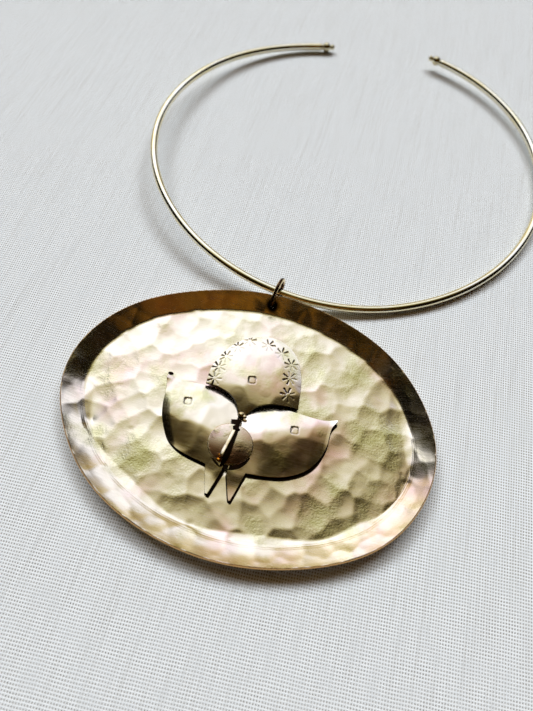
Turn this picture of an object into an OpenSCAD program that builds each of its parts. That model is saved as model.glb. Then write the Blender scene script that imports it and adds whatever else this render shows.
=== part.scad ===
// Choker: an open neck ring of round brass wire, with a hammered oval brass pendant on a jump ring.
// It lies on a table as it was put down. Sizes are in millimetres.
// The origin is the middle of the pendant's flat back, on the table. X runs along the pendant's
// long axis, Y from the pendant towards the neck, and Z up from the table.

/* [Neck ring] */
// Thickness of the round wire
wire_d = 2.5; // [2:0.1:3]
// Long width of the oval, from wire middle to wire middle
ring_long = 138.6; // [136:0.2:141]
// Short width of the oval, from wire middle to wire middle
ring_short = 127.8; // [126:0.2:130]
// Angle of the long width from X, in degrees
ring_turn = 21; // [15:1:27]
// Middle of the oval along X
ring_x = 5.4; // [4.4:0.1:6.4]
// Middle of the oval along Y
ring_y = 104.8; // [104.6:0.1:106]
// Angle at which the wire ends on the left, seen from the oval's middle
left_end = 113.5; // [110:0.5:118]
// Angle at which the wire ends on the right, one turn on
right_end = 428.5; // [422:0.5:431]
// How far the left end is bent in from the oval
left_pull = 2.5; // [0:0.1:3]

/* [Height of the neck ring above the table] */
// Height of the wire's underside at its highest place, on the left
left_lift = 6.2; // [5.8:0.1:7]
// Height of the wire's underside at the right end
right_lift = 2.1; // [0.6:0.1:3]

/* [Ball ends] */
// Diameter of the large ball
ball_d = 3.4; // [3:0.1:3.6]
// Diameter of the small ball at the tip
tip_d = 2; // [1.6:0.1:2.4]
// Diameter of the turned groove before the large ball
groove_d = 1.8; // [1.4:0.1:2]

/* [Jump ring] */
// Thickness of the jump ring's wire
jump_wire_d = 1.2; // [1:0.1:1.25]
// Radius from the middle of the jump ring to the middle of its wire
jump_r = 4.2; // [4.2:0.1:4.4]
// Place of the jump ring along X
jump_x = -2.8; // [-4.8:0.5:0.2]
// Turn of the jump ring from square to X, in degrees
jump_turn = 8; // [0:1:10]

/* [Pendant dish] */
// Long width of the oval dish
dish_long = 104.8; // [103:0.2:106]
// Short width of the oval dish
dish_short = 76.6; // [76:0.2:76.8]
// Thickness of the sheet
sheet_t = 0.8; // [0.7:0.05:0.9]
// Diameter of the hole for the jump ring
hole_d = 2.2; // [2:0.1:2.4]

/* [Flower on the dish] */
// Height of the two side petals' faces above the dish's floor
side_rise = 1; // [0.8:0.1:1.2]
// Height of the top petal's face above the floor, as it lies on the side petals
fan_rise = 1.8; // [1.5:0.1:2]
// Height of the bud's rim above the floor
bud_rise = 1.6; // [1.3:0.1:1.8]
// Height of the bud's crown above its rim
bud_crown = 0.6; // [0.3:0.1:0.8]
// Thickness of the standing strip
strip_t = 0.9; // [0.7:0.1:1.1]
// Height of the standing strip's low end above the floor
strip_rise = 4.2; // [3.6:0.1:4.4]

/* [Hidden] */

brass = "khaki";
dark_bronze = "saddlebrown";
hammered_brass = "goldenrod";

// The neck ring touches the table from ring angle low_from to low_to, and is highest at high_at.
high_at = 205;
low_from = 298;
low_to = 312;
// The left end starts to bend in at this ring angle.
pull_from = 165;
ring_steps = 96;
wire_sides = 12;
round_fn = 48;

// The left ball rests on the table, so the wire there is held this far above it.
left_rest = (ball_d - wire_d) / 2;

// A soft step from 0 to 1.
function ease(t) = let (u = min(1, max(0, t))) u * u * (3 - 2 * u);

function lift(a) =
    a < high_at ? left_rest + (left_lift - left_rest) * ease((a - left_end) / (high_at - left_end))
    : a < low_from ? left_lift * (1 - ease((a - high_at) / (low_from - high_at)))
    : right_lift * ease((a - low_to) / (right_end - low_to));

function ring_radius(a) =
    let (p = a - ring_turn)
    let (u = max(0, (pull_from - a) / (pull_from - left_end)))
    ring_long * ring_short / 2 / sqrt(pow(ring_short * cos(p), 2) + pow(ring_long * sin(p), 2))
    - left_pull * u * u;

function ring_point(a) = [
    ring_x + ring_radius(a) * cos(a),
    ring_y + ring_radius(a) * sin(a),
    wire_d / 2 + lift(a)
];

function unit(v) = v / norm(v);

// The wire's way at a ring angle, from a point just before to a point just after it.
function ring_way(a) = let (step = 0.5) unit(ring_point(a + step) - ring_point(a - step));

// One round section of the wire, square to its way.
function ring_section(a) =
    let (way = ring_way(a))
    let (side = unit([way.y, -way.x, 0]))
    let (up = cross(side, way))
    [for (k = [0:wire_sides - 1])
        let (turn = 360 * k / wire_sides)
        ring_point(a) + wire_d / 2 * (cos(turn) * side - sin(turn) * up)];

// Faces of a tube of steps + 1 rings with n points each, closed by a flat face at both ends.
function tube_faces(n, steps) = concat(
    [[for (k = [0:n - 1]) k]],
    [for (s = [0:steps - 1]) each [for (k = [0:n - 1])
        let (m = (k + 1) % n)
        each [[s * n + k, (s + 1) * n + m, s * n + m], [s * n + k, (s + 1) * n + k, (s + 1) * n + m]]]],
    [[for (k = [n - 1:-1:0]) steps * n + k]]
);

module wire() {
    polyhedron(
        points = [for (s = [0:ring_steps])
            each ring_section(left_end + (right_end - left_end) * s / ring_steps)],
        faces = tube_faces(wire_sides, ring_steps)
    );
}

// A turned end: groove, large ball and small ball, along X from the wire's end.
module ball_end() {
    groove_l = 0.3;
    merge = 0.3;
    sunk = 0.8;
    ball_x = groove_l + ball_d / 2;
    tip_x = ball_x + ball_d / 2 + tip_d / 2 - merge;
    translate([-sunk, 0, 0]) rotate([0, 90, 0]) cylinder(d = groove_d, h = sunk + ball_x, $fn = round_fn);
    translate([ball_x, 0, 0]) sphere(d = ball_d, $fn = round_fn);
    translate([tip_x, 0, 0]) sphere(d = tip_d, $fn = round_fn);
}

module place_end(a, outward) {
    way = outward * ring_way(a);
    translate(ring_point(a)) rotate([0, 0, atan2(way.y, way.x)]) ball_end();
}

module neck_ring() {
    color(brass) union() {
        wire();
        place_end(left_end, -1);
        place_end(right_end, 1);
    }
}

// The jump ring stands upright. It hangs round the wire and passes through the hole.
jump_y = 38.9;
jump_gap = 0.05;
jump_z = jump_r + jump_wire_d / 2 + jump_gap;
// Angle below the middle at which the jump ring passes through the dish's wall
hole_angle = 36;

module in_jump_place() {
    translate([jump_x, jump_y, jump_z]) rotate([0, 0, -jump_turn]) children();
}

module jump_ring() {
    color(dark_bronze)
        in_jump_place()
            rotate([0, 90, 0])
                rotate_extrude($fn = 96) translate([jump_r, 0]) circle(d = jump_wire_d, $fn = 24);
}

// The dish's edge was cut by hand, so it waves a little about a true oval. The waves fade out inwards.
// Each row: [waves round the edge, height of a wave, angle of its first crest]
edge_waves = [
    [3, 0.22, -54],
    [4, 0.27, -17],
    [5, 0.11, 31],
    [8, 0.12, 6]
];
wave_reach = 16;

function edge_wave(t) = [for (w = edge_waves) w[1] * cos(w[0] * (t - w[2]))] * [1, 1, 1, 1];

function oval(t) = [dish_long / 2 * cos(t), dish_short / 2 * sin(t)];

function oval_out(t) = unit([dish_short * cos(t), dish_long * sin(t)]);

function edge_point(t, inset) = oval(t) + (edge_wave(t) * (1 - inset / wave_reach) - inset) * oval_out(t);

// The dish's wall, from the edge to the flat floor.
// Each row: [distance in from the edge, height of the sheet's middle above that of the floor]
wall_rows = [
    [0.25, 3.62],
    [1.3, 2.86],
    [2.5, 2.06],
    [3.8, 1.28],
    [5.2, 0.62],
    [7, 0.16],
    [9.5, 0]
];

dish_sides = 96;
last_row = len(wall_rows) - 1;

// The sheet's outward direction at a row, in the plane of inset and height.
function wall_out(i) =
    let (d = unit(wall_rows[min(i + 1, last_row)] - wall_rows[max(i - 1, 0)]))
    i == last_row ? [0, 1] : [-d.y, d.x];

function wall_point(i, side) = wall_rows[i] + [0, sheet_t / 2] + side * sheet_t / 2 * wall_out(i);

// Points of the section: the back from the floor to the edge, then the face from the edge to the floor.
dish_section = concat(
    [for (i = [last_row:-1:0]) wall_point(i, -1)],
    [for (i = [0:last_row]) wall_point(i, 1)]
);

function dish_ring(p) = [for (k = [0:dish_sides - 1])
    let (q = edge_point(360 * k / dish_sides, p[0]))
    [q.x, q.y, p[1]]];

module dish_plate() {
    polyhedron(
        points = [for (p = dish_section) each dish_ring(p)],
        faces = tube_faces(dish_sides, len(dish_section) - 1)
    );
}

module dish() {
    cut = 3;
    difference() {
        dish_plate();
        in_jump_place()
            translate([0, -jump_r * cos(hole_angle), -jump_r * sin(hole_angle)])
                rotate([90 - hole_angle, 0, 0]) cylinder(d = hole_d, h = cut, center = true, $fn = round_fn);
    }
}

// A smooth stretch through hand-picked points, with n steps between two of them.
function stretch(p, n) = [for (i = [0:len(p) - 2]) each [for (k = [0:n - 1])
    let (t = k / n)
    let (a = p[max(i - 1, 0)])
    let (b = p[i])
    let (c = p[i + 1])
    let (d = p[min(i + 2, len(p) - 1)])
    b + t / 2 * ((c - a) + t * ((2 * a - 5 * b + 4 * c - d) + t * (3 * b - a - 3 * c + d)))]];

// Outlines of the flower's pieces, as smooth stretches that meet at the corners.
fan_crown = [[-13.8, 4.9], [-13.9, 9.7], [-12.4, 14.4], [-9.9, 19], [-6.3, 22.3], [-2, 24.3],
    [2.4, 24.3], [6, 22.9], [8.8, 20.3], [10.7, 16.7], [12, 12.5], [13, 5.5]];
fan_hem_right = [[13, 5.5], [10.8, 5.4], [6.6, 4.7], [3.9, 3.7], [1.3, 1.9], [-0.7, -1]];
fan_hem_left = [[-2.6, -1], [-3.4, 1.2], [-4.9, 2.8], [-7.1, 4.1], [-10.4, 4.9]];

left_top = [[-24.7, 4.2], [-20, 4.1], [-15, 4.6], [-10.3, 4.7], [-6.6, 3.6], [-3.9, 1.7], [-2.2, -1.5]];
left_inner = [[-1.9, -3], [-1.8, -16.6]];
left_tail = [[-3.5, -23.4], [-4.3, -23.3]];
left_outer = [[-6.6, -16.2], [-11.7, -15.5], [-15.4, -14.6], [-18.4, -12.9], [-20.4, -10.5],
    [-22.1, -7.6], [-23.1, -4], [-23.7, 0], [-24.8, 3.4]];

right_top = [[-0.6, -1.5], [0.8, 1.6], [3.2, 3.3], [6.7, 4.3], [11, 4.6], [18, 4.4], [21.2, 4.7],
    [24.3, 5.9]];
right_outer = [[24.4, 5.2], [23.3, 3], [23.2, 0.5], [23.2, -2], [22.4, -5.4], [20.9, -8.4],
    [18.8, -10.7], [15.8, -12.7], [12.9, -13.9], [8.7, -14.9], [4.4, -15.5]];
right_tail = [[2.7, -23.2], [2.2, -23.4], [1.8, -22.6]];
right_inner = [[-0.4, -17.2], [-0.9, -3]];

// The pieces of the flower sink this far into the floor that they are soldered to.
solder = 0.3;
floor_z = sheet_t;

module plate(outline, rise) {
    translate([0, 0, floor_z - solder]) linear_extrude(rise + solder) polygon(outline);
}

module top_petal() {
    plate(concat(stretch(fan_crown, 3), stretch(fan_hem_right, 3), [[-0.7, -1]], stretch(fan_hem_left, 3)),
        fan_rise);
}

module left_petal() {
    plate(concat(stretch(left_top, 3), left_inner, left_tail, stretch(left_outer, 3), [[-24.8, 3.4]]),
        side_rise);
}

module right_petal() {
    plate(concat(stretch(right_top, 3), stretch(right_outer, 3), right_tail, right_inner), side_rise);
}

bud_x = -1.4;
bud_y = -9.8;
bud_r = 5.8;
// Radius of the ball whose cap crowns the bud
bud_ball_r = (bud_r * bud_r + bud_crown * bud_crown) / (2 * bud_crown);

module bud() {
    translate([bud_x, bud_y, floor_z - solder]) {
        intersection() {
            cylinder(r = bud_r, h = bud_rise + bud_crown + solder, $fn = 96);
            translate([0, 0, bud_rise + bud_crown + solder - bud_ball_r]) sphere(r = bud_ball_r, $fn = 192);
        }
    }
}

// The standing strip rises from the middle of the flower to its low end.
strip_head = [-1.6, -1.2];
strip_foot = [-2.6, -14];
// The strip's top from its low end back to its head. Each row: [share of the length, share of the height]
strip_top = [[1, 0.55], [0.94, 1], [0.75, 0.98], [0.3, 0.57], [0, 0.57]];
// The strip's underside ends at this share of the length.
strip_base = 0.95;

module strip() {
    way = strip_foot - strip_head;
    length = norm(way);
    translate([strip_head.x, strip_head.y, floor_z - solder])
        rotate([90, 0, atan2(way.y, way.x)])
            linear_extrude(strip_t, center = true)
                polygon(concat(
                    [[0, 0], [strip_base * length, 0]],
                    [for (s = strip_top) [s.x * length, s.y * strip_rise + solder]]
                ));
}

module pendant() {
    color(hammered_brass) union() {
        dish();
        top_petal();
        left_petal();
        right_petal();
        bud();
        strip();
    }
}

neck_ring();
jump_ring();
pendant();
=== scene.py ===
import random
from math import atan2, cos, exp, hypot, log, pi, radians, sin, sqrt

import bmesh
import bpy
from mathutils import Matrix, Vector, noise
from mathutils.kdtree import KDTree


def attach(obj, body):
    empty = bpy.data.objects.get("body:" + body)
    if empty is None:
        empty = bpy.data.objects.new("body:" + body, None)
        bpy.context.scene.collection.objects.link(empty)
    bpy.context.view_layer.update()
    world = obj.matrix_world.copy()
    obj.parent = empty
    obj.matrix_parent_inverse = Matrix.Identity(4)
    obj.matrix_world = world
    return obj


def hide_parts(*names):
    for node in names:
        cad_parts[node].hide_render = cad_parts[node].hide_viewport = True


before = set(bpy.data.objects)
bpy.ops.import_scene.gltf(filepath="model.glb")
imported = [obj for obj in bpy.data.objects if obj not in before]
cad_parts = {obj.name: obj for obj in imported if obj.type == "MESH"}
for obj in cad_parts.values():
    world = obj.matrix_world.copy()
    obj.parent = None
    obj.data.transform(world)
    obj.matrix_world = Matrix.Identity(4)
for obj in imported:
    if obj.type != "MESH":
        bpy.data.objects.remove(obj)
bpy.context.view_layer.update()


# The dish. An oval of brass sheet, 0.8 mm thick, sunk over a stake so that its rim stands up all round,
# and planished by hand with a round-faced hammer. The edge was cut with shears and filed round. A hole
# in the rim takes the jump ring. The flower is soldered to its floor.
MM = 0.001
SHEET = 0.8
FLOOR_MID = SHEET / 2
DISH_LONG, DISH_SHORT = 104.8, 76.6
# The waves of the hand-cut outline: how many go round, how high they are, where one has its crest.
EDGE_WAVES = [(3, 0.22, -54), (4, 0.27, -17), (5, 0.11, 31), (8, 0.12, 6)]
# The wall's section, along the sheet's middle: how far in from the edge, how high.
WALL = [(0.25, 4.02), (1.2, 3.38), (2.2, 2.67), (3.2, 1.95), (4.2, 1.22), (4.7, 0.86),
        (5.15, 0.6), (5.6, 0.46), (6.2, FLOOR_MID), (8, FLOOR_MID)]
WALL_FROM, WALL_HIGH = WALL[0]
FLAT_FROM = WALL[-1][0]
# The broad band that stands in for the wall on the near side, and how it narrows at the lower right.
NEAR_WIDE, NEAR_WAVE, NEAR_WAVES, WAVE_AT = 6.95, 0.9, 8, radians(-76.5)
RIGHT_FROM, RIGHT_TO, RIGHT_NARROWER, RIGHT_CALMER = radians(-42), radians(3), 1.35, 0.7
# Small deep pits at the wall's foot: x, y, width, depth.
PITS = [(-5.2, -31.5, 0.8, 0.12), (5.3, -31.8, 0.7, 0.12), (46.3, -4.8, 0.7, 0.1), (44.6, -3.1, 0.6, 0.1),
        (-41.1, -13.9, 1.5, 0.18), (-28.9, -13, 0.8, 0.1), (-43.1, -2.5, 0.9, 0.12), (-37.7, -2.3, 0.8, 0.1)]
MARK_DEPTH, SWELL, SWELL_WIDE = 1.12, 0.24, 12
SHOWS_BELOW = 0.25
SPIN_R, SPIN_STEPS = DISH_SHORT / 2, 480
WALL_STEPS, FLOOR_STEPS, UNDER_STEPS = 5, 72, 12
# The jump ring's size and place are set here, because the hole is drilled where the ring passes the rim.
JUMP_R, JUMP_WIRE = 4.2, 1.2
JUMP_TURN = Matrix.Rotation(radians(-8), 4, "Z")
JUMP_PLACE = Matrix.Translation((-2.8, 38.9, JUMP_R + JUMP_WIRE / 2 + 0.05)) @ JUMP_TURN
HOLE_R, HOLE_ANGLE = 1.1, radians(36)
# How far past the hole's edge the painted shade round it reaches, and over how much it fades.
HOLE_SHADE_TO, HOLE_SHADE_FADE = 1.7, 1.3


def smooth_path(points, steps):
    """A smooth stretch through the points, with steps between two of them."""
    made = []
    p = [Vector(q) for q in points]
    for i in range(len(p) - 1):
        a, b, c, d = p[max(i - 1, 0)], p[i], p[i + 1], p[min(i + 2, len(p) - 1)]
        bend, twist = 2 * a - 5 * b + 4 * c - d, 3 * b - a - 3 * c + d
        for k in range(steps):
            t = k / steps
            made.append(b + t / 2 * ((c - a) + t * (bend + t * twist)))
    return made + [p[-1]]


def ease(t):
    """A smooth step from 0 to 1."""
    t = min(1, max(0, t))
    return t * t * (3 - 2 * t)


def edge_point(t, inset):
    """A point of the dish's hand-cut oval, this far in from its edge."""
    wave = sum(h * cos(n * (t - radians(first))) for n, h, first in EDGE_WAVES) * (1 - inset / 16)
    out = Vector((DISH_SHORT * cos(t), DISH_LONG * sin(t))).normalized()
    return Vector((DISH_LONG / 2 * cos(t), DISH_SHORT / 2 * sin(t))) + (wave - inset) * out


def wall_height(inset):
    """The height of the sheet's middle at this distance in from the edge."""
    for (a, z), (b, y) in zip(WALL, WALL[1:]):
        if inset <= b:
            return z + (y - z) * (inset - a) / (b - a)
    return FLOOR_MID


def near_rise(t, inset):
    """What the near side's broad band adds to the wall's height, at the angle t from the right end of the
    oval. It fades out past both ends, is narrower at the lower right, and its foot runs in scallops."""
    reach = 0.275 if cos(t) < 0 else 0.37
    near = ease((0.225 + reach * cos(t) - sin(t)) / (0.48 + 0.19 * cos(t)))
    right = ease((t - RIGHT_FROM) / radians(12)) * ease((RIGHT_TO - t) / radians(9))
    scallops = NEAR_WAVE * (1 - RIGHT_CALMER * right) * cos(NEAR_WAVES * (t - WAVE_AT))
    wide = NEAR_WIDE - RIGHT_NARROWER * right + scallops
    if near == 0 or not WALL_FROM < inset < WALL_FROM + wide:
        return 0
    part, steep = 1 - (inset - WALL_FROM) / wide, 2 - 0.2 * wide
    slope = (WALL_HIGH - FLOOR_MID) * part * (steep + (1 - steep) * part)
    return near * (slope + FLOOR_MID - wall_height(inset))


class HammerMarks:
    """Overlapping shallow marks of a round hammer face, as heights over a plane, in millimetres. They lie in
    uneven rows, and each has a flat middle, a round flank, and a lean and a depth of its own."""

    def __init__(self, seed, pitch, flat, face_r, lean, uneven, reach):
        rng = random.Random(seed)
        self.flat, self.face_r = flat, face_r
        self.marks = []
        row_step, stray = 0.866, 0.34
        rows = int(reach[1] / pitch / row_step) + 2
        columns = int(reach[0] / pitch) + 2
        for j in range(-rows, rows + 1):
            for i in range(-columns, columns + 1):
                x = (i + 0.5 * (j % 2) + rng.uniform(-stray, stray)) * pitch
                y = (j * row_step + rng.uniform(-stray, stray)) * pitch
                z = rng.uniform(-uneven, uneven)
                self.marks.append((x, y, z, rng.gauss(0, lean), rng.gauss(0, lean)))
        self.tree = KDTree(len(self.marks))
        for i, m in enumerate(self.marks):
            self.tree.insert((m[0], m[1], 0), i)
        self.tree.balance()

    def height(self, x, y, soft=0.012):
        """The deepest of the eight nearest marks at a point, with a soft ridge where two of them meet."""
        total = 0
        for _, i, _ in self.tree.find_n((x, y, 0), 8):
            mx, my, z, lean_x, lean_y = self.marks[i]
            dx, dy = x - mx, y - my
            flank = max(0, dx * dx + dy * dy - self.flat**2) / (2 * self.face_r)
            total += exp(-(z + lean_x * dx + lean_y * dy + flank) / soft)
        return -soft * log(total)


def join_up(bm, verts):
    """Joins the vertices in a row with edges."""
    return [bm.edges.new(pair) for pair in zip(verts, verts[1:])]


def spin_round(bm, steps, axis=(0, 0, 1)):
    """Spins a profile all the way round an axis and merges what meets there."""
    bmesh.ops.spin(bm, geom=bm.verts[:] + bm.edges[:], cent=(0, 0, 0), axis=axis, angle=2 * pi,
                   steps=steps, use_merge=True)
    bmesh.ops.remove_doubles(bm, verts=bm.verts, dist=0.0005)


def face_outward(bm):
    """Turns every face outward."""
    bmesh.ops.recalc_face_normals(bm, faces=bm.faces)


def piece(bm, name, material, sharp=40):
    """Turns a bmesh in millimetres into a finished piece of the choker, with its own finish. Edges that
    turn by more than sharp degrees stay crisp."""
    bmesh.ops.transform(bm, matrix=Matrix.Scale(MM, 4), verts=bm.verts)
    for f in bm.faces:
        f.smooth = True
    for e in bm.edges:
        e.smooth = len(e.link_faces) < 2 or e.calc_face_angle(0) < radians(sharp)
    mesh = bpy.data.meshes.new(name)
    bm.to_mesh(mesh)
    bm.free()
    made = bpy.data.objects.new(name, mesh)
    bpy.context.scene.collection.objects.link(made)
    made.data.materials.append(material)
    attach(made, "root")
    return made


def combine(base, tool, how):
    """Cuts base with tool, or keeps what they share, and returns the result as a new bmesh."""
    solids = []
    for bm in (base, tool):
        mesh = bpy.data.meshes.new("work")
        bm.to_mesh(mesh)
        bm.free()
        solids.append(bpy.data.objects.new("work", mesh))
        bpy.context.scene.collection.objects.link(solids[-1])
    cut = solids[0].modifiers.new("cut", "BOOLEAN")
    cut.operation, cut.solver, cut.object = how, "EXACT", solids[1]
    shaped = solids[0].evaluated_get(bpy.context.evaluated_depsgraph_get())
    result = bmesh.new()
    result.from_mesh(shaped.to_mesh())
    shaped.to_mesh_clear()
    for o in solids:
        bpy.data.objects.remove(o)
    return result


def linear(code):
    """An sRGB hex colour as the linear values that the shader takes."""
    parts = [int(code[i : i + 2], 16) / 255 for i in (1, 3, 5)]
    return tuple(c / 12.92 if c <= 0.04045 else ((c + 0.055) / 1.055) ** 2.4 for c in parts) + (1,)


def add(tree, kind, links=None, stops=None, **settings):
    """Adds a node. links gives each socket a value or another node's output. stops gives a ramp its colours,
    each as a place and three linear values."""
    node = tree.nodes.new(kind)
    for key, value in settings.items():
        setattr(node, key, value)
    if stops:
        ramp = node.color_ramp.elements
        ramp[0].position, ramp[0].color = stops[0][0], (*stops[0][1:], 1)
        ramp[-1].position, ramp[-1].color = stops[-1][0], (*stops[-1][1:], 1)
        for at, *colour in stops[1:-1]:
            ramp.new(at).color = (*colour, 1)
    for key, value in (links or {}).items():
        if isinstance(value, bpy.types.NodeSocket):
            tree.links.new(value, node.inputs[key])
        else:
            node.inputs[key].default_value = value
    return node


def blend(tree, share, colour, other):
    """Mixes two colours by a share from 0 to 1."""
    return add(tree, "ShaderNodeMix", {0: share, 6: colour, 7: other}, data_type="RGBA").outputs[2]


def spread(tree, value, low, high, to_low=0.0, to_high=1.0):
    """Spreads a value's range from low to high over another range, and holds it at both ends."""
    return add(tree, "ShaderNodeMapRange", {"Value": value, "From Min": low, "From Max": high,
                                            "To Min": to_low, "To Max": to_high}).outputs[0]


def figure(tree, how, a, b):
    """Works out one number from two."""
    return add(tree, "ShaderNodeMath", {0: a, 1: b}, operation=how).outputs[0]


def per_m(mm):
    """The scale of a pattern on Object coordinates whose features are this many millimetres wide."""
    return 1000 / mm


def turned(tree, place, degrees, scale=(1, 1, 1)):
    """The coordinates turned and stretched, for scratches and threads that run one way."""
    return add(tree, "ShaderNodeMapping", {
        "Vector": place, "Rotation": (0, 0, radians(degrees)), "Scale": scale}).outputs[0]


def clouds(tree, place, scale, detail):
    """A noise pattern from 0 to 1."""
    pattern = add(tree, "ShaderNodeTexNoise", {"Vector": place, "Scale": scale, "Detail": detail})
    return pattern.outputs["Fac"]


def new_material(name):
    """An empty material, its node tree and the coordinates that its patterns lie on."""
    material = bpy.data.materials.new(name)
    material.use_nodes = True
    material.node_tree.nodes.clear()
    return material, material.node_tree, add(material.node_tree, "ShaderNodeTexCoord").outputs["Object"]


def surface(tree, tint, gloss, relief, metal=1.0):
    """Ends a material's nodes with its shader."""
    shader = add(tree, "ShaderNodeBsdfPrincipled", {
        "Base Color": tint, "Metallic": metal, "Roughness": gloss, "Normal": relief.outputs[0]})
    add(tree, "ShaderNodeOutputMaterial", {"Surface": shader.outputs[0]})


def satin_brass(name, gold, rose, olive, rough, patch_mm, crinkle, tone_and_light_tint="#2A1C12"):
    """Yellow brass, hammered and then rubbed with steel wool: a satin shine with fine scratches two ways,
    faint rose and olive clouds where heat and polish left them, and a crinkled grain in patches. One mask
    tints
    it with a second colour: dark toning in the punched marks, the colour of the dish's filed edge, painted
    shade on the petals' backs and sides, the bud's darker lower side, a painted highlight on the jump ring
    and a painted reflection on two beads. A second mask paints black shade in and round the dish's hole."""
    material, tree, place = new_material(name)
    rose_clouds = clouds(tree, place, per_m(patch_mm), 3.0)
    olive_noise = add(tree, "ShaderNodeTexNoise", {
        "Vector": place, "W": 3.7, "Scale": per_m(patch_mm * 0.6), "Detail": 4.0}, noise_dimensions="4D")
    olive_clouds = olive_noise.outputs["Fac"]
    tint = blend(tree, spread(tree, rose_clouds, 0.49, 0.72), linear(gold), linear(rose))
    tint = blend(tree, spread(tree, olive_clouds, 0.48, 0.7), tint, linear(olive))
    # The first mask adds the toning and the painted light, the second the painted shade round the hole.
    for attribute, masked_tint in (("tone_and_light_mask", tone_and_light_tint), ("hole_shade", "#150E09")):
        tint_mask = add(tree, "ShaderNodeAttribute", attribute_name=attribute).outputs["Fac"]
        tint = blend(tree, tint_mask, tint, linear(masked_tint))
    scratches = []
    for degrees, wide in ((24, 0.16), (-61, 0.22)):
        along = turned(tree, place, degrees, (per_m(4), per_m(wide), per_m(4)))
        scratches.append(clouds(tree, along, 1.0, 2.0))
    rubbed = figure(tree, "ADD", *scratches)
    crinkled = spread(tree, olive_clouds, 0.5, 0.62, 0.0, crinkle)
    grain = figure(tree, "MULTIPLY", clouds(tree, place, per_m(0.55), 3.0), crinkled)
    relief = add(tree, "ShaderNodeBump", {"Height": rubbed, "Strength": 0.15, "Distance": 0.02 * MM})
    relief = add(tree, "ShaderNodeBump", {"Height": grain, "Strength": 0.5, "Distance": 0.16 * MM,
                                          "Normal": relief.outputs[0]})
    surface(tree, tint, spread(tree, rubbed, 0.7, 1.3, rough - 0.05, rough + 0.07), relief)
    return material


hammered_brass = satin_brass("hammered_brass_satin", "#F4E6CE", "#EEC8C0", "#D2CA96", 0.22, 16, 0.8,
                             tone_and_light_tint="#D2A468")
dish_marks = HammerMarks(seed=5, pitch=5.4, flat=1.6, face_r=38, lean=0.033, uneven=0.03, reach=(56, 42))

# The section is spun as a round dish, and each of its points is then moved to its place on the oval.
middle = smooth_path(WALL, WALL_STEPS) + [Vector((FLAT_FROM + 0.4, FLOOR_MID))]
out_of = []
for before, after in zip(middle[:1] + middle, middle[1:] + middle[-1:]):
    way = after - before
    out_of.append(Vector((-way.y, way.x)).normalized())
top_face = [q + SHEET / 2 * n for q, n in zip(middle, out_of)]
under_face = [q - SHEET / 2 * n for q, n in zip(middle, out_of)]
inner_r = SPIN_R - middle[-1].x

# Each point of the section: distance from the axis, height, lean of the sheet, and which side it is on.
TOP, EDGE, UNDER = 1, 0, -1
section = [(inner_r * s / UNDER_STEPS, 0, 0, UNDER) for s in range(UNDER_STEPS)]
section += [(SPIN_R - q.x, max(q.y, 0), 0, UNDER) for q in reversed(under_face)]
across = under_face[0] - top_face[0]
away = Vector((-across.y, across.x)).normalized()
if away.x > 0:
    away = -away
# The edge is filed round: how far across it, how far out.
for share, bulge in ((0.97, 0.03), (0.86, 0.09), (0.8, 0.1), (0.2, 0.1), (0.14, 0.09), (0.03, 0.03)):
    q = top_face[0] + across * share + away * bulge
    section.append((SPIN_R - q.x, q.y, 0, EDGE))
section += [(SPIN_R - q.x, q.y, atan2(n.y, -n.x), TOP) for q, n in zip(top_face, out_of)]
section += [(inner_r * (1 - s / FLOOR_STEPS), SHEET, pi / 2, TOP) for s in range(1, FLOOR_STEPS + 1)]

bm = bmesh.new()
tilt = bm.verts.layers.float.new("tilt")
face_side = bm.verts.layers.float.new("face_side")
edge_tone = bm.verts.layers.float.new("tone_and_light_mask")
profile = []
for x, z, lean, side in section:
    v = bm.verts.new((x, 0, z))
    v[tilt], v[face_side], v[edge_tone] = lean, side, float(side == EDGE)
    profile.append(v)
join_up(bm, profile)
spin_round(bm, SPIN_STEPS)
# The hammer marks are shallower close to the edge, and only a trace of them shows on the underside.
for v in bm.verts:
    r, t = hypot(v.co.x, v.co.y), atan2(v.co.y, v.co.x)
    inset = SPIN_R - r
    if inset <= FLAT_FROM:
        q = edge_point(t, inset)
    else:
        q = edge_point(t, FLAT_FROM) * (r / (SPIN_R - FLAT_FROM))
    out = q.normalized() if q.length > 0.01 else Vector((0, 0))
    h = dish_marks.height(q.x, q.y) + 0.02
    h -= sum(deep * exp(-((q.x - x) ** 2 + (q.y - y) ** 2) / wide**2) for x, y, wide, deep in PITS)
    z = v.co.z + near_rise(t, inset)
    if v[face_side] > 0.5:
        swell = SWELL * noise.noise(Vector((q.x / SWELL_WIDE, q.y / SWELL_WIDE, 2.2)))
        d = (h * MARK_DEPTH + swell * min(1, inset / 6)) * min(1, 0.5 + inset / 3)
        v.co = Vector((q.x + out.x * cos(v[tilt]) * d, q.y + out.y * cos(v[tilt]) * d, z + sin(v[tilt]) * d))
    elif v[face_side] < -0.5:
        below = 0.05 + SHOWS_BELOW * h if inset > 3 else 0
        v.co = Vector((q.x, q.y, max(0, max(z, 0) + below)))
    else:
        v.co = Vector((q.x, q.y, z))
face_outward(bm)
hole_mid = JUMP_PLACE @ Vector((0, -JUMP_R * cos(HOLE_ANGLE), -JUMP_R * sin(HOLE_ANGLE)))
hole_place = Matrix.Translation(hole_mid) @ JUMP_TURN
drill = bmesh.new()
bmesh.ops.create_cone(drill, cap_ends=True, segments=40, radius1=HOLE_R, radius2=HOLE_R, depth=3)
square_to_wall = Matrix.Rotation(pi / 2 - HOLE_ANGLE, 4, "X")
bmesh.ops.transform(drill, verts=drill.verts, matrix=hole_place @ square_to_wall)
bm = combine(bm, drill, "DIFFERENCE")
# Painted shade in and round the hole: the brass there is tinted near-black, fading outwards.
hole_shade = bm.verts.layers.float.new("hole_shade")
for v in bm.verts:
    v[hole_shade] = ease((HOLE_R + HOLE_SHADE_TO - (v.co - hole_mid).length) / HOLE_SHADE_FADE)
dish = piece(bm, "dish", hammered_brass)
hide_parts("pendant")


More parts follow.
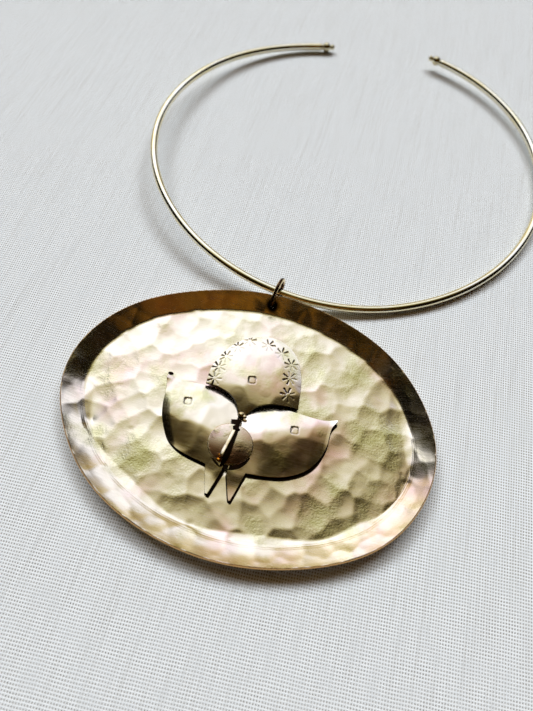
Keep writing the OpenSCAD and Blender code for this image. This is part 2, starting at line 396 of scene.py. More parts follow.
# The side petals. Two leaves sawn from brass sheet and domed a little from behind, each with a curled
# tip, a pointed tail and one punched square. They are soldered to the dish's floor by their inner edges.
LEAF_SHEET, LEAF_FOOT, LEAF_LOW = 0.7, 0.7, 1.85
LEAF_FINE, LEAF_PUNCH = 0.2, 0.16
FILED = 0.13
PUNCH_SIZE, PUNCH_LINE = 2.3, 0.28
PETAL_MARK_DEPTH = 0.85
BUD_X, BUD_Y = -1.4, -9.8
BUD_DIP, BUD_DIP_SPREAD = 0.6, 45
OUTLINE_STEPS = 5


def punched_square(x, y, cx, cy, turn):
    """How deep a hollow square punch has gone in at a point, from 0 to 1. It leaned to its upper left."""
    c, s = cos(radians(turn)), sin(radians(turn))
    u, v = abs((x - cx) * c + (y - cy) * s), abs((y - cy) * c - (x - cx) * s)
    half = PUNCH_SIZE / 2 - PUNCH_LINE / 2
    corner = max(0, hypot(max(u - half * 0.6, 0), max(v - half * 0.6, 0)) - half * 0.4)
    d = abs(corner if min(u, v) > half * 0.6 else max(u, v) - half)
    hard = 0.25 + 0.75 * ease(0.55 + 0.8 * (y - cy - x + cx) / PUNCH_SIZE)
    return hard * max(0, 1 - (d / (PUNCH_LINE / 2 + 0.08)) ** 2)


def verts_of(geom):
    """The vertices among what a mesh operator made."""
    return [g for g in geom if isinstance(g, bmesh.types.BMVert)]


def boundary(bm):
    """The edges that have a face on one side only."""
    return [e for e in bm.edges if e.is_boundary]


def pull(bm, faces, rise):
    """Pulls faces up or down into a solid. Returns the faces that moved."""
    pulled = bmesh.ops.extrude_face_region(bm, geom=faces)["geom"]
    bmesh.ops.translate(bm, verts=verts_of(pulled), vec=(0, 0, rise))
    return [g for g in pulled if isinstance(g, bmesh.types.BMFace)]


def cut_out(bm, corners, rise):
    """A block over the outline through the corners, pulled up or down. Returns its far face."""
    return pull(bm, [bm.faces.new([bm.verts.new(q) for q in corners])], rise)


def domed_plate(outline, thick, fine, top, punched, marks, depth, foot=None):
    """A plate sawn to the outline, its edge filed, then domed to the height top(x, y) and punched.
    With a foot height, its edge is turned down to there."""
    xs, ys = [q.x for q in outline], [q.y for q in outline]
    wide, long = max(xs) - min(xs) + 2, max(ys) - min(ys) + 2
    mid = Matrix.Translation(((min(xs) + max(xs)) / 2, (min(ys) + max(ys)) / 2, thick))
    sheet = bmesh.new()
    bmesh.ops.create_grid(sheet, x_segments=round(wide / fine), y_segments=round(long / fine), size=0.5)
    bmesh.ops.transform(sheet, verts=sheet.verts, matrix=mid @ Matrix.Diagonal((wide, long, 1, 1)))
    hem = bmesh.ops.extrude_edge_only(sheet, edges=boundary(sheet))["geom"]
    bmesh.ops.translate(sheet, verts=verts_of(hem), vec=(0, 0, -thick))
    bmesh.ops.holes_fill(sheet, edges=boundary(sheet), sides=0)
    face_outward(sheet)
    saw, below = bmesh.new(), 0.3
    lid = cut_out(saw, [(q.x, q.y, -below) for q in outline], thick + below - FILED)
    bmesh.ops.holes_fill(saw, edges=boundary(saw), sides=0)
    face_outward(saw)
    bmesh.ops.inset_region(saw, faces=lid, thickness=FILED, depth=FILED + 0.09)
    bm = combine(sheet, saw, "INTERSECT")
    tone_and_light_mask = bm.verts.layers.float.new("tone_and_light_mask")
    # The back and the sides are darkened as painted shade, the filed edge stays bright, and the punched
    # marks are toned dark.
    for v in bm.verts:
        z, on_top = top(v.co.x, v.co.y), v.co.z > thick - 0.01
        v[tone_and_light_mask] = 1.0 if v.co.z < thick - 0.1 else 0.0
        if v.co.z < 0.1 and foot:
            v.co.z = foot
            continue
        if on_top:
            hit = punched(v.co.x, v.co.y)
            v[tone_and_light_mask] = 0.9 * min(1, hit * 1.1)
            z += (marks.height(v.co.x, v.co.y, 0.04) + 0.05) * PETAL_MARK_DEPTH - depth * hit
        v.co.z += z - thick
    return bm


def leaf_height(ridge, turn, high, north, south, tip_fall=0.0):
    """The domed height of a side petal: a soft ridge along its middle, on each side of it a slope that grows
    to its full steepness over a few millimetres, and a dip where the bud lies."""
    c, s = cos(radians(turn)), sin(radians(turn))

    def height(x, y):
        along, across = (x - ridge[0]) * c + (y - ridge[1]) * s, (y - ridge[1]) * c - (x - ridge[0]) * s
        z = high
        for d, (steep, over) in ((across, north), (-across, south), (along - 4, (tip_fall, 3))):
            d = max(0, d)
            z -= steep * (d - over * (1 - exp(-d / over)))
        z -= BUD_DIP * exp(-((x - BUD_X) ** 2 + (y - BUD_Y) ** 2) / BUD_DIP_SPREAD)
        return LEAF_LOW + 0.2 * log(1 + exp((z - LEAF_LOW) / 0.2))
    return height


petal_marks = HammerMarks(seed=11, pitch=5, flat=1.4, face_r=38, lean=0.022, uneven=0.012, reach=(32, 30))
petal_brass = satin_brass("petal_brass_satin", "#F4E6D0", "#EAC8BC", "#D4CC98", 0.18, 12, 0.5)
left_outline = (
    smooth_path([(-24.7, 4.2), (-20, 4.1), (-15, 4.6), (-10.3, 4.7), (-6.6, 3.6), (-3.9, 1.7),
                 (-2.2, -1.5)], OUTLINE_STEPS)
    + [Vector(q) for q in ((-1.9, -3), (-1.8, -16.6), (-3.5, -23.4), (-4.3, -23.3))]
    + smooth_path([(-6.6, -16.2), (-11.7, -15.5), (-15.4, -14.6), (-18.4, -12.9), (-20.4, -10.5),
                   (-22.1, -7.6), (-23.1, -4), (-23.7, 0), (-24.8, 3.4)], OUTLINE_STEPS))
left_top = leaf_height((-11.7, -6.3), -20.7, 4.0, (0.25, 3), (0.395, 3.8))


def left_side(x, y):
    """The left petal's height: its left edge is bent down and its tip curls up."""
    bent = max(0, (-21.3 + 0.022 * (y - 2) ** 2 - x) / 2) ** 1.5 * min(1, max(0, (1 - y) / 3))
    curled = max(0, (-22.6 - x) / 2.2) ** 1.5 * min(1, max(0, (y - 1) / 2))
    return left_top(x, y) - 0.24 * bent + 0.5 * curled


bm = domed_plate(left_outline, LEAF_SHEET, LEAF_FINE, left_side,
                 lambda x, y: punched_square(x, y, -16.6, -1.7, 14), petal_marks, LEAF_PUNCH, LEAF_FOOT)
piece(bm, "left_petal", petal_brass, sharp=25)

right_outline = (
    smooth_path([(-0.6, -1.5), (0.8, 1.6), (3.2, 3.3), (6.7, 4.3), (11, 4.6), (18, 4.4), (21.2, 4.7),
                 (24.3, 5.9)], OUTLINE_STEPS)
    + smooth_path([(24.4, 5.2), (23.3, 3), (23.2, 0.5), (23.2, -2), (22.4, -5.4), (20.9, -8.4),
                   (18.8, -10.7), (15.8, -12.7), (12.9, -13.9), (8.7, -14.9), (4.4, -15.5)], OUTLINE_STEPS)
    + [Vector(q) for q in ((2.7, -23.2), (2.2, -23.4), (1.8, -22.6), (-0.4, -17.2), (-0.9, -3))])
right_top = leaf_height((5.5, -4.4), 23.4, 3.95, (0.34, 2.2), (0.235, 4.3), 0.06)


def right_side(x, y):
    """The right petal's height: its tip curls up."""
    return right_top(x, y) + 0.3 * max(0, (x - 22.2) / 2.2) ** 1.5


bm = domed_plate(right_outline, LEAF_SHEET, LEAF_FINE, right_side,
                 lambda x, y: punched_square(x, y, 13.7, -0.8, 12), petal_marks, LEAF_PUNCH, LEAF_FOOT)
piece(bm, "right_petal", petal_brass, sharp=25)


# The petals' painted shadow. Dark strips on the dish's floor along the lower edges of the petals, that paint
# their shadow, and a dark drop under the left petal's curled tip, that paints the curl's shadow.
SHADOW_STRIP_TOP, SHADOW_STRIP_THICK = 1.15, 0.45
BEAD_R, BEAD_SHAPE = 0.55, Matrix.Diagonal((1.5, 0.9, 0.6, 1))
# A near-black brass for the pieces that stand for shade and shadow.
shade_brass = satin_brass("painted_shade_brass", "#1C130C", "#28180F", "#13110B", 0.4, 3, 0.2)


def bead(bm, at, r, shape, sides=16, rings=10):
    """A ball of solder, melted to a shape of its own."""
    return bmesh.ops.create_uvsphere(bm, u_segments=sides, v_segments=rings, radius=r,
                                     matrix=Matrix.Translation(at) @ shape)["verts"]


bm = bmesh.new()
for outline, shifts in ((left_outline, ((0.1, -0.4), (0.55, -0.7))),
                        (right_outline, ((-0.1, -0.45), (0.35, -0.7)))):
    for east, north in shifts:
        cut_out(bm, [(q.x + east, q.y + north, SHADOW_STRIP_TOP) for q in outline], -SHADOW_STRIP_THICK)
face_outward(bm)
bead(bm, (-24.3, 4.9, 2.9), BEAD_R, BEAD_SHAPE)
piece(bm, "petal_shadow_strips", shade_brass)


# The top petal. A fan of the same brass, a little thinner, that lies over the side petals' inner ends. Ten
# asterisks are punched along its edge with a rayed stamp, and one hollow square in its middle.
FAN_SHEET, FAN_FINE, FAN_PUNCH = 0.6, 0.16, 0.17
FAN_X, FAN_Y, FAN_HIGH = -2, 10.8, 4.83
# The stamps: x, y, how the punch was turned, and where it leaned, in degrees.
STAMPS = [(-11.9, 6.75, 10, 200), (-11.8, 10.3, 38, 170), (-10.9, 14.1, 22, 150), (-8.7, 18.2, 5, 120),
          (-6.0, 21.4, 30, 100), (-0.4, 21.6, 12, 60), (4.1, 20.2, 40, 80), (7.6, 17.45, 25, 120),
          (8.3, 13.3, 8, 200), (9.1, 8.4, 33, 150)]
STAMP_R, STAMP_HUB, STAMP_RAYS = 2.25, 0.35, 7


def rayed_stamp(x, y):
    """How deep the punches have gone in at a point of the fan, from 0 to 1. The rayed stamp has seven
    wedges, deepest where it leaned."""
    step = 2 * pi / STAMP_RAYS
    for cx, cy, turn, lean in STAMPS:
        r = hypot(x - cx, y - cy)
        if r < STAMP_R:
            angle = atan2(y - cy, x - cx)
            a = (angle - radians(turn)) % step
            off = abs(min(a, step - a)) * r
            half = 0.07 + 0.125 * r
            ray = angle - a if a < step / 2 else angle + step - a
            hard = 0.3 + 0.7 * max(0, cos(ray - radians(lean))) ** 0.5
            ends = min(1, max(0, (r - STAMP_HUB) / 0.25)) * min(1, (STAMP_R - r) / 0.3)
            deep = max(0, 1 - (off / half) ** 2) * ends
            if deep > 0:
                return deep * hard
    return punched_square(x, y, -1.6, 9.2, 15)


def fan_top(x, y):
    """The fan's height: highest in its middle, and falling to every side, a little more at the right."""
    along = (y - FAN_Y) ** 2 / (100 if y > FAN_Y else 67)
    across = (x - FAN_X) ** 2 / (230 if x < FAN_X else 160)
    return FAN_HIGH - along - across - 0.3 * max(0, (x - 5) / 7) ** 2


fan_outline = (
    smooth_path([(-13.8, 4.9), (-13.9, 9.7), (-12.4, 14.4), (-9.9, 19), (-6.3, 22.3), (-2, 24.3),
                 (2.4, 24.3), (6, 22.9), (8.8, 20.3), (10.7, 16.7), (12, 12.5), (13, 5.5)],
                OUTLINE_STEPS)[:-1]
    + smooth_path([(13, 5.5), (10.8, 5.4), (6.6, 4.7), (3.9, 3.7), (1.3, 1.9), (-0.7, -1)], OUTLINE_STEPS)
    + smooth_path([(-2.6, -1), (-3.4, 1.2), (-4.9, 2.8), (-7.1, 4.1), (-10.4, 4.9)], OUTLINE_STEPS))
fan_marks = HammerMarks(seed=23, pitch=6.5, flat=1.8, face_r=45, lean=0.02, uneven=0.02, reach=(22, 30))
bm = domed_plate(fan_outline, FAN_SHEET, FAN_FINE, fan_top, rayed_stamp, fan_marks, FAN_PUNCH)
piece(bm, "top_petal", petal_brass, sharp=25)


# The bud. A small disc of brass, domed, and darker towards its lower side, with its edge filed bright. It
# sits over the petals' inner ends, on a dark disc that shows as a crescent below it, a painted shadow.
BUD_R, BUD_LOW, BUD_RIM, BUD_RISE = 5.8, 2.4, 3.79, 0.55
BUD_BEVEL, DOME_STEPS = 0.2, 20
bud_brass = satin_brass("bud_brass_satin", "#F4E6D0", "#E8C8BE", "#CCC48C", 0.24, 5, 0.9, tone_and_light_tint="#94705A")
bm = bmesh.new()
tone_and_light_mask = bm.verts.layers.float.new("tone_and_light_mask")
profile = [(0, BUD_LOW), (BUD_R - 0.3, BUD_LOW), (BUD_R, BUD_LOW + 0.1), (BUD_R, BUD_RIM - 0.32),
           (BUD_R - 0.02, BUD_RIM - 0.3), (BUD_R - BUD_BEVEL, BUD_RIM)]
for s in range(1, DOME_STEPS + 1):
    part = 1 - s / DOME_STEPS
    profile.append(((BUD_R - BUD_BEVEL) * part, BUD_RIM + BUD_RISE * (1 - part**2)))
verts = [bm.verts.new((r, 0, z)) for r, z in profile]
for v in verts:
    v[tone_and_light_mask] = 0 if BUD_RIM - 0.31 < v.co.z < BUD_RIM + 0.01 else 1
join_up(bm, verts)
spin_round(bm, 96)
face_outward(bm)
# The darkening has an uneven border and is darkest at the lower side.
for v in bm.verts:
    v[tone_and_light_mask] *= 0.2 + 0.8 * ease((2.4 + 1.2 * noise.noise(v.co / 2.5) - v.co.y) / 4.8)
bmesh.ops.transform(bm, verts=bm.verts, matrix=Matrix.Translation((BUD_X - 0.4, BUD_Y + 0.3, 3))
                    @ Matrix.Rotation(radians(6), 4, "X") @ Matrix.Translation((0, 0, -3))
                    @ Matrix.Diagonal((1.07, 0.95, 1, 1)))
piece(bm, "bud", bud_brass, sharp=25)
# The dark disc under the bud, a painted shadow.
bm = bmesh.new()
shadow_disc_place = Matrix.Translation((BUD_X + 0.15, BUD_Y - 0.6, 2.5)) @ Matrix.Rotation(radians(4), 4, "X")
bmesh.ops.create_cone(bm, cap_ends=True, segments=72, radius1=BUD_R, radius2=BUD_R - 0.05, depth=1.2,
                      matrix=shadow_disc_place)
piece(bm, "bud_shadow_disc", shade_brass)


# The standing strip. A thin strip of brass on edge along the flower's middle, taller at its low end, with
# a flared head where it comes through the petals, dark as painted shade, a black band with a bead along its
# right side that paints its shadow, and beads of solder behind the head and at its foot, the two at its foot
# coloured orange as a painted reflection.
STRIP_LEFT, STRIP_RIGHT = Vector((-0.6, 0, -0.1)), Vector((0.36, 0, 0.05))
STRIP_FOOT, HEAD_THICK, SHADOW_BAND_THICK = 2.9, 1.0, 1.2
strip_brass = satin_brass("strip_brass_bright", "#F2DFC2", "#E6C4A6", "#DCC890", 0.24, 4, 0.4,
                          tone_and_light_tint="#E0932E")


def bridge_rows(bm, rows):
    """Joins two rows of points with a band of faces."""
    edges = [join_up(bm, [bm.verts.new(q) for q in row]) for row in rows]
    return bmesh.ops.bridge_loops(bm, edges=edges[0] + edges[1])["faces"]


def soften(bm, edges, width):
    """Rounds the edges a little."""
    bmesh.ops.bevel(bm, geom=edges, offset=width, segments=2, profile=0.5, affect="EDGES", material=-1)


def crisp_edges(bm, degrees):
    """The edges where the surface turns by more than this."""
    return [e for e in bm.edges if e.calc_face_angle(0) > radians(degrees)]


bm = bmesh.new()
path = smooth_path([(-1.85, -5.2, 4.4), (-1.95, -6.3, 4.65), (-2.25, -8.6, 4.8), (-2.6, -10.8, 4.85),
                    (-2.85, -12.6, 4.9), (-2.95, -13.5, 4.6), (-2.95, -13.9, 3.4)], 4)
feet = [Vector((q.x + 0.1, q.y, STRIP_FOOT)) for q in path]
for shift in (STRIP_LEFT, STRIP_RIGHT):
    bridge_rows(bm, [[q + shift for q in row] for row in (path, feet)])
bmesh.ops.bridge_loops(bm, edges=boundary(bm))
face_outward(bm)
soften(bm, crisp_edges(bm, 50), 0.12)
piece(bm, "standing_strip", strip_brass, sharp=45)

# The head, dark as painted shade.
bm = bmesh.new()
flare = [(-3.7, -3.0, 3.9), (-0.9, -2.3, 4.2), (-0.8, -2.8, 4.2), (-1.3, -5.6, 4.6), (-2.15, -5.9, 4.65),
         (-3.4, -3.6, 4.0)]
cut_out(bm, reversed(flare), -HEAD_THICK)
face_outward(bm)
soften(bm, bm.edges[:], 0.1)
piece(bm, "strip_head", shade_brass, sharp=45)

# The black band along the strip's right side, with a bead near its top, a painted shadow.
bm = bmesh.new()
shadow_band = smooth_path([(-0.9, -4.2, 4.4), (-0.7, -6.5, 4.62), (-0.8, -9.1, 4.66), (-0.85, -11.6, 4.5),
                    (-1.2, -14, 4.05), (-2.3, -15.9, 3.3)], 4)
along_strip = [(min(-1.5 - 0.1 * max(0, -4 - q.y), q.x - 0.2), q.y, q.z + 0.05) for q in shadow_band]
pull(bm, bridge_rows(bm, [shadow_band, along_strip]), -SHADOW_BAND_THICK)
bmesh.ops.holes_fill(bm, edges=boundary(bm), sides=0)
face_outward(bm)
bead(bm, (-1.2, -5.4, 4.45), BEAD_R, BEAD_SHAPE)
piece(bm, "strip_shadow_band", shade_brass, sharp=45)

bm = bmesh.new()
tone_and_light_mask = bm.verts.layers.float.new("tone_and_light_mask")
# The two beads at the foot are coloured orange, a painted reflection.
for at, r, orange_reflection in (((-1.5, -1.0, 4.0), 0.75, 0), ((-0.5, -1.3, 3.8), 0.6, 0),
                     ((-3.3, -13.3, 4.2), 0.55, 1), ((-3.4, -14.4, 3.8), 0.55, 1)):
    for v in bead(bm, at, r, Matrix.Diagonal((1.15, 0.9, 0.8, 1)), 24, 14):
        v[tone_and_light_mask] = orange_reflection
piece(bm, "solder_bead", strip_brass)


# The hole's painted shade. A thin black collar in the hole in the dish's rim round the jump ring's wire,
# that paints the shade inside the hole. It just clears the wire.
COLLAR_IN, COLLAR_DOWN, COLLAR_UP = HOLE_R - 0.42, -0.45, 0.4
bm = bmesh.new()
collar = [(HOLE_R + 0.03, COLLAR_DOWN), (COLLAR_IN, COLLAR_DOWN), (COLLAR_IN - 0.02, COLLAR_UP),
          (HOLE_R + 0.03, COLLAR_UP)]
verts = [bm.verts.new((x, 0, z)) for x, z in collar]
join_up(bm, verts + verts[:1])
spin_round(bm, 40)
face_outward(bm)
bmesh.ops.transform(bm, verts=bm.verts, matrix=hole_place @ Matrix.Rotation(HOLE_ANGLE, 4, "X"))
piece(bm, "hole_shade_collar", shade_brass)


# The jump ring. A round ring of wire toned dark brown, with a painted highlight on both sides of its upper
# half, cut and closed with a butt joint. It goes round the neck wire and through the hole in the dish's rim.
JOINT_GAP, JOINT_AT = radians(1.2), radians(200)
HIGHLIGHT_FROM, HIGHLIGHT_OVER = 3.5, 3
jump_bronze = satin_brass("dark_bronze_highlit", "#38241A", "#22150E", "#9A7048", 0.18, 2.2, 0.3,
                          tone_and_light_tint="#F4DCA8")
bm = bmesh.new()
ring_highlight = bm.verts.layers.float.new("tone_and_light_mask")
bmesh.ops.create_circle(bm, cap_ends=True, segments=24, radius=JUMP_WIRE / 2 - 0.005,
                        matrix=Matrix.Translation((0, JUMP_R, 0)) @ Matrix.Rotation(pi, 4, "X"))
bmesh.ops.spin(bm, geom=bm.faces[:], cent=(0, 0, 0), axis=(1, 0, 0), angle=2 * pi - JOINT_GAP, steps=110)
face_outward(bm)
# The painted highlight lies on both sides of the wire and fades out towards the ring's lower half.
for v in bm.verts:
    v[ring_highlight] = ease((abs(v.co.x) / JUMP_WIRE - 0.22) / 0.2)
bmesh.ops.transform(bm, verts=bm.verts, matrix=JUMP_PLACE @ Matrix.Rotation(JOINT_AT, 4, "X"))
for v in bm.verts:
    v[ring_highlight] *= ease((v.co.z - HIGHLIGHT_FROM) / HIGHLIGHT_OVER)
jump_ring = piece(bm, "jump_ring_wire", jump_bronze, sharp=50)
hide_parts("jump_ring")


# The neck wire. One length of hard-drawn round brass wire, 2.5 mm thick, bent by hand to an open oval
# and polished bright. It rests on the table at its low side and springs clear of it elsewhere.
WIRE_R, RING_STEPS = 1.25, 300
RING_LONG, RING_SHORT, RING_TURN = 138.6, 127.8, 21
RING_X, RING_Y = 5.4, 104.8
# Ring angles in degrees: the two ends, where the left end starts to pull in, and where the wire is low.
LEFT_END, RIGHT_END, PULL_FROM, LEFT_PULL = 113.5, 428.5, 165, 2.5
HIGH_AT, LOW_FROM, LOW_TO = 205, 298, 312
LEFT_REST, LEFT_LIFT, RIGHT_LIFT = 0.45, 6.2, 2.1


def ring_point(a):
    """The middle of the wire at a ring angle in degrees."""
    if a < HIGH_AT:
        lift = LEFT_REST + (LEFT_LIFT - LEFT_REST) * ease((a - LEFT_END) / (HIGH_AT - LEFT_END))
    elif a < LOW_FROM:
        lift = LEFT_LIFT * (1 - ease((a - HIGH_AT) / (LOW_FROM - HIGH_AT)))
    else:
        lift = RIGHT_LIFT * ease((a - LOW_TO) / (RIGHT_END - LOW_TO))
    p, u = radians(a - RING_TURN), max(0, (PULL_FROM - a) / (PULL_FROM - LEFT_END))
    oval = RING_LONG * RING_SHORT / 2 / sqrt((RING_SHORT * cos(p)) ** 2 + (RING_LONG * sin(p)) ** 2)
    r = oval - LEFT_PULL * u * u
    return Vector((RING_X + r * cos(radians(a)), RING_Y + r * sin(radians(a)), WIRE_R + lift))


def ring_way(a):
    """The way that the wire runs there."""
    return ring_point(a + 0.5) - ring_point(a - 0.5)


def ring_frame(a):
    """A place on the wire: X along the wire, Y outwards and Z up."""
    way = ring_way(a).normalized()
    side = Vector((way.y, -way.x, 0)).normalized()
    return Matrix.Translation(ring_point(a)) @ Matrix((way, side, side.cross(way))).transposed().to_4x4()


def polished_wire(name, colour, warm, rough):
    """Brass wire drawn and buffed: a near-mirror with a few small rubs and faint warmer clouds."""
    material, tree, place = new_material(name)
    warmer = spread(tree, clouds(tree, place, per_m(9), 3.0), 0.4, 0.7)
    tint = blend(tree, warmer, linear(colour), linear(warm))
    rubs = clouds(tree, place, per_m(0.5), 4.0)
    relief = add(tree, "ShaderNodeBump", {"Height": rubs, "Strength": 0.12, "Distance": 0.02 * MM})
    surface(tree, tint, spread(tree, rubs, 0.35, 0.7, rough, rough + 0.05), relief)
    return material


wire_brass = polished_wire("wire_brass_polished", "#F7F0DA", "#F2E4B8", 0.04)
angles = [LEFT_END + (RIGHT_END - LEFT_END) * s / RING_STEPS for s in range(RING_STEPS + 1)]
bm = bmesh.new()
bmesh.ops.create_circle(bm, cap_ends=True, segments=24, radius=WIRE_R - 0.01,
                        matrix=ring_frame(angles[0]) @ Matrix.Rotation(pi / 2, 4, "Y"))
ring = bm.edges[:]
for a, b in zip(angles, angles[1:]):
    new = bmesh.ops.extrude_edge_only(bm, edges=ring)["geom"]
    bmesh.ops.transform(bm, matrix=ring_frame(b) @ ring_frame(a).inverted(), verts=verts_of(new))
    ring = [g for g in new if isinstance(g, bmesh.types.BMEdge) and g.is_boundary]
bmesh.ops.contextual_create(bm, geom=ring)
face_outward(bm)
soften(bm, crisp_edges(bm, 60), 0.15)
neck_wire = piece(bm, "neck_wire", wire_brass, sharp=50)
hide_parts("neck_ring")


# The ball ends. Each end of the wire is turned down to a groove, then left as a large ball with a small
# one at its tip, so that the ends don't scratch the neck.
BALL_R, TIP_R, GROOVE_R = 1.7, 1.0, 0.9
BALL_AT = 0.3 + BALL_R
TIP_AT = BALL_AT + BALL_R + TIP_R - 0.3
END_IN, END_OUT, END_STEPS = 0.5, TIP_AT + TIP_R, 110


def turned_radius(x):
    """The radius that the turning tool left at a distance past the wire's end."""
    ball = sqrt(max(0, BALL_R**2 - (x - BALL_AT) ** 2))
    tip = sqrt(max(0, TIP_R**2 - (x - TIP_AT) ** 2))
    return max(ball, tip, GROOVE_R if x < BALL_AT else 0)


end_brass = polished_wire("end_brass_polished", "#DCD3B4", "#CDBE94", 0.14)
for name, angle, outward in (("left_ball_end", LEFT_END, -1), ("right_ball_end", RIGHT_END, 1)):
    bm = bmesh.new()
    verts = []
    for s in range(END_STEPS + 1):
        x = -END_IN + (END_OUT + END_IN) * s / END_STEPS
        verts.append(bm.verts.new((x, 0, turned_radius(x) if 0 < s < END_STEPS else 0)))
    join_up(bm, verts)
    spin_round(bm, 40, axis=(1, 0, 0))
    face_outward(bm)
    way = outward * ring_way(angle)
    bmesh.ops.transform(bm, verts=bm.verts, matrix=Matrix.Translation(ring_point(angle))
                        @ Matrix.Rotation(atan2(way.y, way.x), 4, "Z"))
    piece(bm, name, end_brass, sharp=60)


# The table. A plain pale cloth of plain weave, laid flat. It isn't part of the choker. Its threads are of
# uneven thickness and shade both ways, and the gaps between them are painted dim, as shade.
CLOTH_SIZE, CLOTH_DOWN = 1.5, 0.05
THREADS = ((-4, 0.68), (86, 0.78))
bm = bmesh.new()
bmesh.ops.create_grid(bm, x_segments=1, y_segments=1, size=CLOTH_SIZE)
mesh = bpy.data.meshes.new("table_cloth")
bm.to_mesh(mesh)
bm.free()
cloth = bpy.data.objects.new("table_cloth", mesh)
bpy.context.scene.collection.objects.link(cloth)
cloth.location.z = -CLOTH_DOWN * MM


def plain_weave(name):
    """Pale cloth of plain weave: matt threads that cross over and under, thicker and thinner along their
    length, some of them greyer, with painted shade in the gaps between."""
    material, tree, place = new_material(name)
    rows = []
    for degrees, pitch in THREADS:
        # At Scale 1 the bands of a wave texture lie 2 pi / 20 apart.
        rows.append(add(tree, "ShaderNodeTexWave", {
            "Vector": turned(tree, place, degrees), "Scale": per_m(pitch) * 2 * pi / 20, "Distortion": 1.2,
            "Detail": 1.0, "Detail Scale": 0.3}).outputs["Fac"])
    weave = figure(tree, "MAXIMUM", *rows)
    slub = clouds(tree, place, per_m(5), 4.0)
    # The gaps between threads are painted dim, as shade.
    gap_shade = blend(tree, slub, linear("#3A342C"), linear("#A8A39A"))
    tint = blend(tree, spread(tree, weave, 0.1, 0.78), gap_shade, linear("#E8F0F8"))
    for degrees, _ in THREADS:
        along = turned(tree, place, degrees, (per_m(0.9), per_m(30), 1))
        uneven = spread(tree, clouds(tree, along, 1.0, 2.0), 0.5, 0.85, 0.0, 0.3)
        tint = blend(tree, uneven, tint, linear("#AEB0B0"))
    tint = blend(tree, spread(tree, slub, 0.4, 0.8, 0.0, 0.5), tint, linear("#C9D1D9"))
    relief = add(tree, "ShaderNodeBump", {"Height": weave, "Strength": 0.6, "Distance": 0.12 * MM})
    surface(tree, tint, 0.9, relief, metal=0.0)
    return material


cloth.data.materials.append(plain_weave("pale_plain_weave_cloth"))


# The light. A wide soft window lies beyond the pendant's neck side, brightest at the left. The room behind
# the camera is dim, with a few amber things in it. Five soft suns in a row along the window give the cloth
# its shadows, and the metal doesn't mirror them.
TO_WINDOW = Vector((-0.32, 0.6, 0.733)).normalized()
# How bright the dome is towards the window: the cosine of the angle to its middle, then red, green, blue.
WINDOW = [(0.45, 0, 0, 0), (0.64, 0.032, 0.025, 0.006), (0.68, 0.085, 0.067, 0.022),
          (0.71, 0.18, 0.15, 0.06), (0.735, 0.31, 0.27, 0.115), (0.765, 0.47, 0.42, 0.235),
          (0.805, 0.58, 0.57, 0.38), (0.84, 0.68, 0.69, 0.52), (0.87, 0.8, 0.82, 0.68),
          (0.89, 0.88, 0.91, 0.84), (0.92, 0.95, 1.0, 1.08), (0.94, 1.08, 1.16, 1.3),
          (0.967, 1.32, 1.42, 1.62), (1.0, 1.6, 1.72, 2.0)]
LOW_WARMTH = [(0.36, 0.85, 0.72, 0.46), (0.6, 1, 1, 1)]
# The window's bright pane, and its right and left edges, each as a way that points into it.
PANE, RIGHT_EDGE, LEFT_EDGE = (1.2, 1.3, 1.6), (-0.7, 0.714, 0), (0.34, 0.94, 0)
ROOM = [(0.42, 0.01, 0.007, 0.003), (0.52, 0.07, 0.04, 0.008), (0.62, 0.34, 0.15, 0.016)]
TO_GLOW, GLOW = (0.342, -0.634, 0.7), (1, 0.4, 0.03)
CLOTH_SHARE, BACKDROP = (0.5, 0.27, 0.07, 1), (0.6, 0.61, 0.6, 1)
SUN_AZIMUTHS, SUN_DOWN = (-55, -36, -17, 2, 20), -0.88
SUN_POWER, SUN_WIDE, SUN_TINT = 0.89, radians(16), (0.95, 0.985, 1)


def vectors(tree, how, a, b):
    """Works with two vectors, or scales the first by a number."""
    node = add(tree, "ShaderNodeVectorMath", {0: a, "Scale" if how == "SCALE" else 1: b}, operation=how)
    return node.outputs["Value" if how == "DOT_PRODUCT" else "Vector"]


world = bpy.data.worlds.new("soft_studio")
bpy.context.scene.world = world
world.use_nodes = True
tree = world.node_tree
tree.nodes.clear()
way = add(tree, "ShaderNodeTexCoord").outputs["Generated"]
way_parts = add(tree, "ShaderNodeSeparateXYZ", {0: way})
to_x, to_y, to_z = (way_parts.outputs[axis] for axis in "XYZ")

# The sky's light through the window, falling off to every side, stronger at the left and warmer low down.
facing = vectors(tree, "DOT_PRODUCT", way, TO_WINDOW)
facing = figure(tree, "ADD", facing, spread(tree, to_x, -0.16, -0.5, 0.0, 0.06))
dome = add(tree, "ShaderNodeValToRGB", {0: facing}, stops=WINDOW).outputs[0]
low = add(tree, "ShaderNodeValToRGB", {0: to_z}, stops=LOW_WARMTH).outputs[0]
dome = vectors(tree, "MULTIPLY", dome, low)

# The window's bright pane, with soft edges at its right, its left, its sill and its top.
pane = figure(tree, "MULTIPLY", spread(tree, vectors(tree, "DOT_PRODUCT", way, RIGHT_EDGE), 0, 0.15),
              spread(tree, vectors(tree, "DOT_PRODUCT", way, LEFT_EDGE), 0, 0.12))
for edge, full in ((0.42, 0.56), (0.85, 0.72)):
    pane = figure(tree, "MULTIPLY", pane, spread(tree, to_z, edge, full))
dome = vectors(tree, "MAXIMUM", dome, vectors(tree, "SCALE", PANE, pane))

# The dark wall past the window's left edge.
left_wall = figure(tree, "MAXIMUM", spread(tree, to_x, -0.56, -0.44, 0.08),
                   spread(tree, vectors(tree, "DOT_PRODUCT", way, LEFT_EDGE), 0, 0.12, 0.08))
dome = vectors(tree, "SCALE", dome, left_wall)

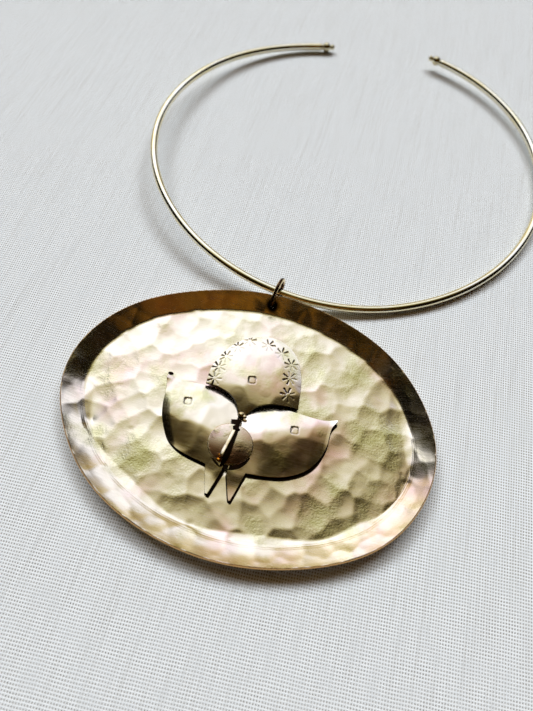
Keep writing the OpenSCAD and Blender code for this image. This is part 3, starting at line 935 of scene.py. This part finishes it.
# The room behind the camera, dimmer low down, at the left and near the window, and one amber glow in it.
things = clouds(tree, way, 4.0, 2.0)
dim = add(tree, "ShaderNodeValToRGB", {0: things}, stops=ROOM).outputs[0]
room = figure(tree, "MULTIPLY", spread(tree, to_z, 0.45, 0.8, 0.12), spread(tree, to_x, -0.45, -0.05, 0.25))
room = figure(tree, "MULTIPLY", room, spread(tree, to_y, -0.3, -0.5, 0.12))
dome = vectors(tree, "ADD", dome, vectors(tree, "SCALE", dim, room))
glow = spread(tree, vectors(tree, "DOT_PRODUCT", way, TO_GLOW), 0.95, 1, 0.0, 0.11)
dome = vectors(tree, "ADD", dome, vectors(tree, "SCALE", GLOW, glow))

# Matt surfaces get less and warmer light from the dome than the metal mirrors, since the suns light them
# too. Past the cloth the backdrop is plain and pale.
ray = add(tree, "ShaderNodeLightPath")
dome = vectors(tree, "MULTIPLY", dome, blend(tree, ray.outputs["Is Diffuse Ray"], (1, 1, 1, 1), CLOTH_SHARE))
seen = blend(tree, ray.outputs["Is Camera Ray"], dome, BACKDROP)
light = add(tree, "ShaderNodeBackground", {"Color": seen})
add(tree, "ShaderNodeOutputWorld", {"Surface": light.outputs[0]})

for i, azimuth in enumerate(SUN_AZIMUTHS):
    lamp = bpy.data.lights.new("window_sun_%d" % (i + 1), "SUN")
    lamp.energy, lamp.angle, lamp.color = SUN_POWER, SUN_WIDE, SUN_TINT
    lamp_place = bpy.data.objects.new(lamp.name, lamp)
    bpy.context.scene.collection.objects.link(lamp_place)
    lamp_place.rotation_mode = "QUATERNION"
    lamp_place.visible_glossy = False
    a = radians(azimuth)
    lamp_place.rotation_quaternion = Vector((-sin(a), -cos(a), SUN_DOWN)).to_track_quat("-Z", "Y")
bpy.context.scene.view_settings.view_transform = "Standard"


# The camera stands over the pendant's near side and looks down steeply towards the neck. Its place and its
# three axes follow from the photo's perspective.
CAMERA_AT = Vector((0.01123, -0.04042, 0.133))
RIGHT, UP, BACK = (0.9563, 0.2885, 0.0472), (-0.2814, 0.8644, 0.4167), (0.0794, -0.4117, 0.9078)
FILM_WIDE, FOCAL, FOCUS, F_STOP = 36, 24.96, 0.138, 12
lens = bpy.data.cameras.new("camera")
lens.sensor_width, lens.lens = FILM_WIDE, FOCAL
lens.clip_start = 0.005
lens.dof.use_dof, lens.dof.focus_distance, lens.dof.aperture_fstop = True, FOCUS, F_STOP
camera = bpy.data.objects.new("camera", lens)
bpy.context.scene.collection.objects.link(camera)
camera.matrix_world = Matrix.Translation(CAMERA_AT) @ Matrix((RIGHT, UP, BACK)).transposed().to_4x4()
bpy.context.scene.camera = camera
